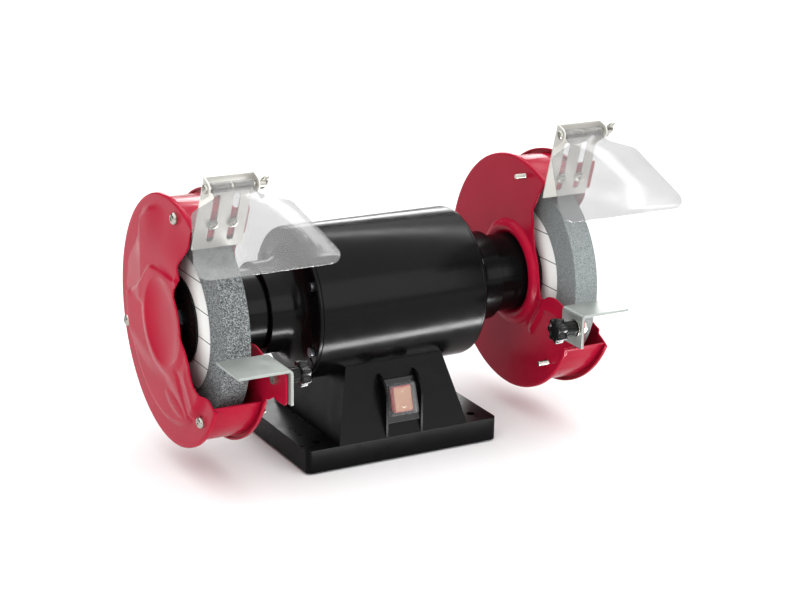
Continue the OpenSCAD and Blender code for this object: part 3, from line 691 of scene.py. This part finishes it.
def plate_rise(u, v):
    """Height of an inner plate's stamped face, towards the motor."""
    r = np.hypot(u, v)
    swell = 5.4 * np.clip(1 - ((r - 45.0) / 7.0) ** 2, 0, 1) ** 0.8
    rib = ridge(u, v, (-42, -50), (-62, -21), 2.6, 2.4) + ridge(u, v, (-36, -46), (-57, -18), 2.4, -0.9)
    flange = ridge(u, v, (-60, -21), (-95, -21), 3.2, 1.4)
    return swell + rib + flange


COVER_FRONT = [
    polar(PLATE_R, OPEN_TOP), (-55, 97), (-50, 82), (-43, 74), (-36, 67), (-31.5, 59.5), (-36, 47), (-29, 38),
    (-28.5, 25), (-34.5, 8), (-45.5, -8.5), (-56.5, -24), (-61, -34), (-68, -42), (-79, -46), (-90, -49),
    polar(PLATE_R, OPEN_BOTTOM),
]
PLATE_FRONT = [
    polar(PLATE_R, OPEN_TOP), (-50, 93), (-43, 80), (-37, 70), (-39, 58), (-40, 46), (-43.5, 33), (-49, 20),
    (-52.5, 4), (-55, -9), (-58.5, -13.5), (-64, -12.5), (-71, -8.5), (-82, -6.5), (-92, -8.5), (-101, -11),
]
RINGS = [*np.arange(1.5, 30, 2.4), *np.arange(30, 60, 1.2), *np.arange(60, 114.7, 1.45)]


def guard_cover(side):
    s = SIDES[side]
    front = smooth_path(COVER_FRONT, 1.6)
    rim = rim_run()
    outline = rim + front[1:-1]
    edges = [RIM_EDGE] * len(rim) + [FREE_EDGE] * (len(front) - 2)
    shape = pressed_sheet(
        outline, edges, cover_rise, lambda u, v, h: about_spindle(s * (GUARD_OUT + h), u, v), radii=RINGS
    )
    make(f"{side}_cover", shape, RED, "stand", [f"{side}_guard_cover"], crease=60)


def deflector_point(side, s, n):
    """(u, v) of a point s up a deflector's plate from its foot and n behind it, unraised."""
    a = math.radians(DEFLECTOR[side]["lean"])
    return (
        DEFLECTOR_FOOT[0] - s * math.sin(a) + n * math.cos(a),
        DEFLECTOR_FOOT[1] + s * math.cos(a) + n * math.sin(a),
    )


def ear(side):
    """The plate's edge round the ear that carries the tool rest, from top to bottom."""
    f = EAR_FRONT[side]
    return (
        [(f + 14, -11)] + arc((f + 5, -16), 5, 90, 180, 5) + [(f, -26)] + arc((f + 6, -36), 6, 180, 270, 5)
        + [(-126, -42.4), (-121, -41), (-111, -47), (-104, -49)]
    )


def guard_housing(side):
    s = SIDES[side]
    front = smooth_path(PLATE_FRONT, 1.6) + ear(side)
    rim = rim_run()
    outline = rim + front[1:]
    edges = [RIM_EDGE] * len(rim) + [FREE_EDGE] * (len(front) - 1)
    hole_r = 19.5
    turn = np.linspace(0, 2 * math.pi, 60, endpoint=False)
    centre_hole = [(hole_r * math.cos(a), hole_r * math.sin(a)) for a in turn]
    shape = pressed_sheet(
        outline, edges, plate_rise, lambda u, v, h: about_spindle(s * (GUARD_IN - h), u, v),
        holes=[centre_hole], radii=RINGS,
    )
    make(f"{side}_plate", shape, RED, "stand", [f"{side}_guard_housing"], crease=60)

    x0, x1 = GUARD_IN + SHEET - 0.3, GUARD_OUT - SHEET + 0.2
    wall = rounded([(BAND_R, x0), (BAND_R, x1), (BAND_R - SHEET, x1), (BAND_R - SHEET, x0)], 0.3, 2)
    sweep = OPEN_TOP - 360 - OPEN_BOTTOM
    band = lathe(wall, lambda x, u, v: about_spindle(s * x, u, v), 200, sweep, OPEN_BOTTOM)
    make(f"{side}_band", band, RED, "stand", crease=40, edge_mm=0.3)

    gap, tab_top = 0.3, 42
    tab = [
        deflector_point(side, 13, gap), deflector_point(side, tab_top, gap),
        deflector_point(side, tab_top, gap + 2),
        deflector_point(side, 15, gap + 2),
        polar(BAND_R - 0.1, OPEN_TOP + 1), polar(BAND_R - SHEET + 0.1, OPEN_TOP + 1),
    ]
    tab = loft([[about_spindle(s * x, u, v) for u, v in tab] for x in (159.2, 205.4)])
    make(f"{side}_tab", tab, RED, "stand", edge_mm=0.4)


def cover_screws(side):
    s = SIDES[side]
    shank_r = 2.5
    head, tip = screw_head(5.6, 4.6), threaded(shank_r, 11.0)
    shape = Shape()
    for k, a in enumerate(COVER_SCREW_ANGLES):
        u, v = polar(SCREW_RING_R, a)
        turn = Vector((0, math.cos(0.5 + k), math.sin(0.5 + k)))
        shape += head.moved(frame_at(about_spindle(s * GUARD_OUT, u, v), (s, 0, 0), turn))
        shape += tip.moved(frame_at(about_spindle(s * GUARD_IN, u, v), (-s, 0, 0)))
        low, high = GUARD_IN + 0.1, GUARD_OUT - 0.2
        bar = lathe([(shank_r, low), (shank_r, high), (0.01, high), (0.01, low)],
                    lambda x, p, q: about_spindle(s * x, u + p, v + q), 24)
        shape += bar
    make(f"{side}_long_screws", shape, ZINC, "stand", [f"{side}_cover_screws"], crease=35)


for side in SIDES:
    guard_cover(side)
    guard_housing(side)
    cover_screws(side)
dress(ZINC, "guard_mounting_screws", edge_mm=0.3)


# ------------------------------------------------------------ deflectors and eye shields
def on_deflector(side):
    """Row frame of a deflector as it is set: z up its plate from the foot, -y outwards."""
    d = DEFLECTOR[side]
    foot = about_spindle(d["x"], *DEFLECTOR_FOOT)
    return (
        Matrix.Translation(foot) @ Matrix.Rotation(math.radians(d["lean"]), 4, "X")
        @ Matrix.Translation((0, 0, d["raise"]))
    )


def on_hinge(side):
    """x along the hinge bolt, -y down the shield, z out of its upper face."""
    slope = SHIELD_SLOPE[side] - DEFLECTOR[side]["lean"]
    swing = Matrix.Rotation(math.radians(slope), 4, "X")
    return on_deflector(side) @ Matrix.Translation((0, -HINGE_OUT, HINGE_S)) @ swing


def eye_shield(side):
    place = on_hinge(side)
    corner = 12
    half = [(20, 1.8), (20, -12), (46.5, -25)] + arc((66.4 - corner, corner - SHIELD_LEN), corner, 12, -90, 8)
    radii = [0.8, 4, 4] + [0] * 9
    outline = rounded(half + [(-x, y) for x, y in reversed(half)], radii + radii[::-1], 8)
    t, soft = SHIELD_T / 2, 0.45
    loops = []
    normals = outward(outline)
    if sum(n[0] * p[0] for n, p in zip(normals, outline)) < 0:
        normals = -normals
    half_edge = [(0, t - soft), (soft * 0.3, t - soft * 0.3), (soft, t)]
    for pull, z in [(pull, -z) for pull, z in reversed(half_edge)] + half_edge:
        ring = [(p[0] - n[0] * pull, p[1] - n[1] * pull, z) for p, n in zip(outline, normals)]
        loops.append([place @ Vector(point) for point in ring])
    pane = loft(loops)
    knuckles = Shape()
    bore_r, knuckle_r = 2.56, 4.5
    for x0, x1 in ((-19.5, -1.2), (1.2, 19.5)):
        ring = [(bore_r, x0), (knuckle_r, x0), (knuckle_r, x1), (bore_r, x1)]
        ring = rounded(ring, [0, 0.5, 0.5, 0], 3)
        knuckles += lathe(ring, lambda x, u, v: place @ Vector((x, u, v)), 40)
    body = f"{side}_shield"
    make(f"{side}_shield_pane", pane, SHIELD, body, [f"{side}_eye_shield"], crease=50)
    make(f"{side}_shield_knuckles", knuckles, SHIELD, body)


def deflector_screws(side):
    d = DEFLECTOR[side]
    place = on_deflector(side) @ Matrix.Translation((0, 0, -d["raise"]))
    head = screw_head(4.3, 2.6)
    washer = rounded([(2.6, 0), (5.2, 0), (5.2, 1), (2.6, 1)], 0.2, 2)
    washer = lathe(washer, lambda a, u, v: Vector((u, v, a)), 40)
    tail = threaded(2.5, 5.0)
    corners = [(4.6 * math.cos(a), 4.6 * math.sin(a)) for a in np.arange(6) * math.pi / 3]
    nut = loft([[Vector((x, y, z)) for x, y in corners] for z in (0, 3.1)])
    shape = Shape()
    for k, dx in enumerate(CLAMP_X):
        turn = (math.sin(1 + k), 0, math.cos(1 + k))
        out = place @ frame_at((dx, -DEFLECTOR_T - 0.3, CLAMP_S), (0, -1, 0), turn)
        shape += washer.moved(out)
        shape += head.moved(out @ Matrix.Translation((0, 0, 0.9)))
        back = place @ frame_at((dx, 2.3, CLAMP_S), (0, 1, 0))
        shape += nut.moved(back)
        shape += tail.moved(back @ Matrix.Translation((0, 0, -1.3)))
    make(f"{side}_clamp_screws", shape, ZINC, "stand", [f"{side}_deflector_screws"], crease=35)


def hinge_bolt(side):
    place = on_deflector(side) @ Matrix.Translation((0, -HINGE_OUT, HINGE_S))
    half, r = 24, 2.5
    head = screw_head(4.3, 3.0)
    shape = head.moved(place @ frame_at((-half, 0, 0), (-1, 0, 0), (0, 0.4, 1)))
    low, high = -half - 0.2, half + 0.1
    rod = [(r, low), (r, high), (0.01, high), (0.01, low)]
    shape += lathe(rod, lambda x, u, v: place @ Vector((x, u, v)), 32)
    shape += threaded(r, 9.5).moved(place @ frame_at((half, 0, 0), (1, 0, 0)))
    make(
        f"{side}_hinge_bolt", shape, ZINC, f"{side}_deflector", [f"{side}_shield_bolt"],
        crease=35,
    )


for side in SIDES:
    eye_shield(side)
    deflector_screws(side)
    hinge_bolt(side)
    dress(PALE, f"{side}_spark_deflector", edge_mm=0.35)
    dress(ZINC, f"{side}_wing_nut", edge_mm=0.5)


# ------------------------------------------------------------ wheels
def wheel(side):
    s = SIDES[side]
    x0, x1 = WHEEL_X - WHEEL_T / 2, WHEEL_X + WHEEL_T / 2
    bore_r = 16.02
    outline = [(bore_r, x0), (WHEEL_R, x0), (WHEEL_R, x1), (bore_r, x1)]
    outline = rounded(outline, [0, 0.9, 0.9, 0], 4)
    dense = []
    for (r0, xa), (r1, xb) in zip(outline, outline[1:] + outline[:1]):
        n = max(1, round(math.hypot(r1 - r0, xb - xa) / 4))
        dense += [(r0 + (r1 - r0) * k / n, xa + (xb - xa) * k / n) for k in range(n)]
    shape = lathe(dense, lambda x, u, v: about_spindle(s * x, u, v), 200)
    make(f"{side}_stone", shape, COARSE if side == "left" else FINE, "rotor", [f"{side}_wheel"])


for side in SIDES:
    wheel(side)
    dress(PAPER, f"{side}_wheel_labels", edge_mm=0)
    dress(KNOB, f"{side}_wheel_flanges", edge_mm=0.5)
    dress(DARK_STEEL, f"{side}_spindle_nut", edge_mm=0.5)
    dress(ZINC, f"{side}_wheel_bush", edge_mm=0)


# ------------------------------------------------------------ tool rests
def fluted_knob(side):
    """A seven-lobed hand knob with a fluted hub."""
    s = SIDES[side]
    lobes = 7
    angles = np.radians(np.arange(0, 360, 3))
    u0, v0 = EAR_BOLT

    def ring(x, radii):
        plan = [(u0 + r * math.cos(a), v0 + r * math.sin(a)) for r, a in zip(radii, angles)]
        return [about_spindle(s * x, u, v) for u, v in plan]

    def star(scale, x, depth=1.3):
        return ring(x, [(12.5 - depth + depth * math.cos(lobes * a)) * scale for a in angles])

    def hub(r, x, depth=0.75):
        return ring(x, [r - depth * (0.5 + 0.5 * math.cos(lobes * a)) ** 3 for a in angles])

    loops = [
        star(0.45, 130.4, 0.2), star(0.62, 130.2, 0.4), star(0.78, 129.4), star(0.9, 129.0),
        star(0.965, 129.4), star(1.0, 130.4), star(1.0, 136.4), star(0.965, 137.5), star(0.88, 138.0),
        hub(8.0, 138.1), hub(7.4, 138.8), hub(7.4, 150.9), hub(7.0, 151.7), hub(6.2, 151.9, 0.2),
        hub(3.06, 151.9, 0), hub(3.06, 132, 0),
    ]
    make(
        f"{side}_star_knob", loft(loops), KNOB, f"{side}_knob", [f"{side}_rest_knob"],
        crease=45,
    )


for side in SIDES:
    fluted_knob(side)
    dress(REST, f"{side}_tool_rest", edge_mm=0.45)
    dress(ZINC, f"{side}_rest_bolt", edge_mm=0.3)
dress(ZINC, "rest_washers", edge_mm=0.2)


# ------------------------------------------------------------ motor
def motor_tube():
    r, half, wall = 73.2, 85, 2.5
    lip = 1.2
    outer = [(r - lip, -half), *arc((r - lip, -half + lip), lip, -90, 0, 5)]
    outer += arc((r - lip, half - lip), lip, 0, 90, 5)
    outline = [*outer, (r - wall, half), (r - wall, -half)]
    shape = lathe(outline, lambda x, u, v: about_spindle(x, u, v), 192)
    make("motor_shell", shape, BLACK, "stand", ["motor_tube"], crease=40)


motor_tube()
dress(BLACK, "left_end_shield", "right_end_shield", edge_mm=0.6, angle=28)
dress(DARK_STEEL, "tie_bolts", edge_mm=0.4)

# ------------------------------------------------------------ base and switch
dress(CAST, "base_casting", edge_mm=0.9, angle=20)
dress(DARK_STEEL, "bottom_plate", edge_mm=0.2)
dress(RUBBER, "rubber_feet", edge_mm=0.5)
dress(KNOB, "cable_gland", edge_mm=0.4)
dress(ZINC, "bottom_plate_screws", "motor_mounting_screws", "wave_washer", "capacitor_clip", edge_mm=0.2)
dress(CORE, "stator_core", "rotor_core", edge_mm=0)
dress(COPPER, "stator_windings", edge_mm=0)
dress(BRIGHT, "bearing_outer_rings", "bearing_inner_rings", "bearing_balls", "spindle", edge_mm=0)
dress(WHITE, "capacitor", "terminal_block", edge_mm=0.3)
dress(BEZEL, "switch_frame", edge_mm=0.5)


# ------------------------------------------------------------ switch
def on_face(x, out, up):
    """A point on the pedestal's sloping front: out of it, and up the slope."""
    c, n = math.cos(FACE_LEAN), math.sin(FACE_LEAN)
    return Vector((x, PEDESTAL_FRONT - out * c + up * n, BASE_TOP + out * n + up * c))


def face_ring(half, low, high, corner, out):
    """A rounded rectangle at one height over the face."""
    plan = rounded([(half, low), (half, high), (-half, high), (-half, low)], corner, 4)
    return [on_face(x, out, y) for x, y in plan]


def switch_boot():
    """A clear cap with an open back over the rocker."""
    wall = 0.8
    out, base = 10.0, 3.02
    lo, hi, half = 18.6, 49.4, 15.0
    loops = []
    outside = [(0, base, 1.4), (0.25, 6, 1.5), (0.6, out - 1.0, 1.6), (0.9, out - 0.3, 1.7), (1.6, out, 1.9)]
    hollow = [(2.0, out - wall, 1.8), (1.7, out - wall - 0.4, 1.6), (1.3, 6, 1.4), (wall + 0.2, base, 1.2)]
    for inset, height, corner in outside + hollow:
        loops.append(face_ring(half - inset, lo + inset, hi - inset, corner, height))
    n = len(loops[0])
    shape = Shape([p for loop in loops for p in loop])
    top = len(outside) - 1
    for k in range(len(loops) - 1):
        if k == top:
            continue
        for i in range(n):
            j = (i + 1) % n
            shape.faces.append((k * n + i, k * n + j, (k + 1) * n + j, (k + 1) * n + i))
    shape.faces.append(tuple(range(top * n, (top + 1) * n)))
    shape.faces.append(tuple(reversed(range((top + 1) * n, (top + 2) * n))))
    last = (len(loops) - 1) * n
    shape.faces += [(last + i, last + (i + 1) % n, (i + 1) % n, i) for i in range(n)]
    make("boot", shape, BOOT, "stand", ["switch_boot"], crease=45)


def switch_rocker():
    """The rocker: its red body, its face painted pale orange for the light falling on its front, and its
    marks, a bar and a ring.
    """
    half, middle = 11.2, 34
    side = [(-0.5, -12), (-7.0, -12), (-7.2, -11.4), (-7.4, 0), (-8.2, 11.6), (-8.0, 12.4), (-0.5, 12.4)]
    loops = []
    bevel = 2.3
    flank = [(-half, 2.8), (-half + 0.3, 2.3), (-half + bevel, 0)]
    for x, pull in flank + [(-x, pull) for x, pull in reversed(flank)]:
        sunk = [(o + pull if o < -1 else o, up * (1 - pull / 12.4)) for o, up in side]
        loops.append([on_face(x, -o, middle + up) for o, up in sunk])
    body = loft(loops)
    make("rocker_body", body, ROCKER_SIDE, "rocker", ["switch_rocker"], crease=30)

    def front(up):
        return 7.4 + (0.8 * up / 11.6 if up > 0 else 0.2 * up / 11.4)

    # The face's pale orange is painted light on the red rocker's front.
    face = []
    for lift, inset in ((-0.3, 0.35), (0.12, 0.4), (0.2, 0.75)):
        side_x = half - bevel + 0.5 - inset
        plan = rounded([(side_x, -11.6 + inset), (side_x, 11.4 - inset),
                        (-side_x, 11.4 - inset), (-side_x, -11.6 + inset)], 0.8, 4)
        face.append([on_face(x, front(y) + lift, middle + y) for x, y in plan])
    make("rocker_lit_face", loft(face), ROCKER_LIT, "rocker", crease=40)
    bar = [(0.5, 3.2), (0.5, 7.8), (-0.5, 7.8), (-0.5, 3.2)]
    bar = [[on_face(x, front(y) + lift, middle + y) for x, y in bar] for lift in (0.1, 0.3)]
    make("on_mark", loft(bar), MARK, "rocker")
    ring = []
    for r, lift in ((2.3, 0.1), (2.3, 0.3), (1.5, 0.3), (1.5, 0.1)):
        angles = np.linspace(0, 2 * math.pi, 28, endpoint=False)
        turn = [(r * math.cos(a), r * math.sin(a) - 6.5) for a in angles]
        ring.append([on_face(x, front(y) + lift, middle + y) for x, y in turn])
    ring = loft(ring + [ring[0]], caps=False)
    make("off_mark", ring, MARK, "rocker", crease=40)


switch_boot()
switch_rocker()

# ------------------------------------------------------------ stage, light, camera
AIM = Vector((32.88, -6.5, 132.43)) * MM
AZIMUTH, ELEVATION, ROLL, DISTANCE = 28.549, 17.712, 0.81, 1.9517


def add_camera():
    data = bpy.data.cameras.new("camera")
    data.lens, data.sensor_width = 90.46, 36
    data.clip_start, data.clip_end = 0.05, 60
    camera = bpy.data.objects.new("camera", data)
    bpy.context.scene.collection.objects.link(camera)
    a, e = math.radians(AZIMUTH), math.radians(ELEVATION)
    back = Vector((-math.sin(a) * math.cos(e), -math.cos(a) * math.cos(e), math.sin(e)))
    camera.location = AIM + back * DISTANCE
    camera.rotation_mode = "QUATERNION"
    camera.rotation_quaternion = (-back).to_track_quat("-Z", "Y") @ Matrix.Rotation(
        math.radians(ROLL), 3, "Z"
    ).to_quaternion()
    bpy.context.scene.camera = camera


def area_light(name, location, target, size, watts, sheen_only=False):
    data = bpy.data.lights.new(name, "AREA")
    data.shape = "RECTANGLE"
    data.size, data.size_y = size
    data.energy = watts
    light = bpy.data.objects.new(name, data)
    bpy.context.scene.collection.objects.link(light)
    light.location = location
    z = (Vector(location) - Vector(target)).normalized()
    x = Vector((0, 0, 1)).cross(z)
    x = x.normalized() if x.length > 1e-3 else Vector((1, 0, 0))
    light.rotation_mode = "QUATERNION"
    light.rotation_quaternion = Matrix((x, z.cross(x), z)).transposed().to_quaternion()
    light.visible_camera = False
    light.visible_diffuse = not sheen_only


def add_stage():
    mesh = bpy.data.meshes.new("floor")
    reach = 14
    corners = [(-reach, -reach, 0), (reach, -reach, 0), (reach, reach, 0), (-reach, reach, 0)]
    mesh.from_pydata(corners, [], [(0, 1, 2, 3)])
    floor = bpy.data.objects.new("floor", mesh)
    bpy.context.scene.collection.objects.link(floor)
    mat, _, _ = shader("floor_paint", (0.88, 0.88, 0.88), 0.75)
    mesh.materials.append(mat)
    world = bpy.data.worlds.new("studio")
    world.use_nodes = True
    world.node_tree.nodes["Background"].inputs["Color"].default_value = (1, 1, 1, 1)
    world.node_tree.nodes["Background"].inputs["Strength"].default_value = 0.16
    bpy.context.scene.world = world


def add_dome(irradiance, spread):
    """An even, very soft light from above."""
    data = bpy.data.lights.new("dome", "SUN")
    data.energy, data.angle = irradiance, math.radians(spread)
    light = bpy.data.objects.new("dome", data)
    bpy.context.scene.collection.objects.link(light)


add_camera()
add_stage()
add_dome(3.9, 110)
area_light("left_panel", (-1.9, -1.6, 1.0), (0.1, 0, 0.15), (1.2, 1.0), 11)
area_light("front_fill", (0.7, -3.0, 1.25), (0, 0, 0.15), (3.0, 2.0), 64)
# These are only seen as reflections: streaks along the motor, and sheen on the pedestal and base
area_light("top_strip", (1.0, 0.70, 1.97), (0, 0, 0.15), (4.0, 0.22), 34, sheen_only=True)
area_light("floor_strip", (0.09, -0.150, 0.005), (0.09, -0.150, 1), (0.40, 0.030), 1.7, sheen_only=True)
area_light("back_panel", (1.1, 2.0, 0.80), (0, 0, 0.05), (2.0, 0.40), 26, sheen_only=True)
bpy.context.scene.view_settings.view_transform = "Standard"
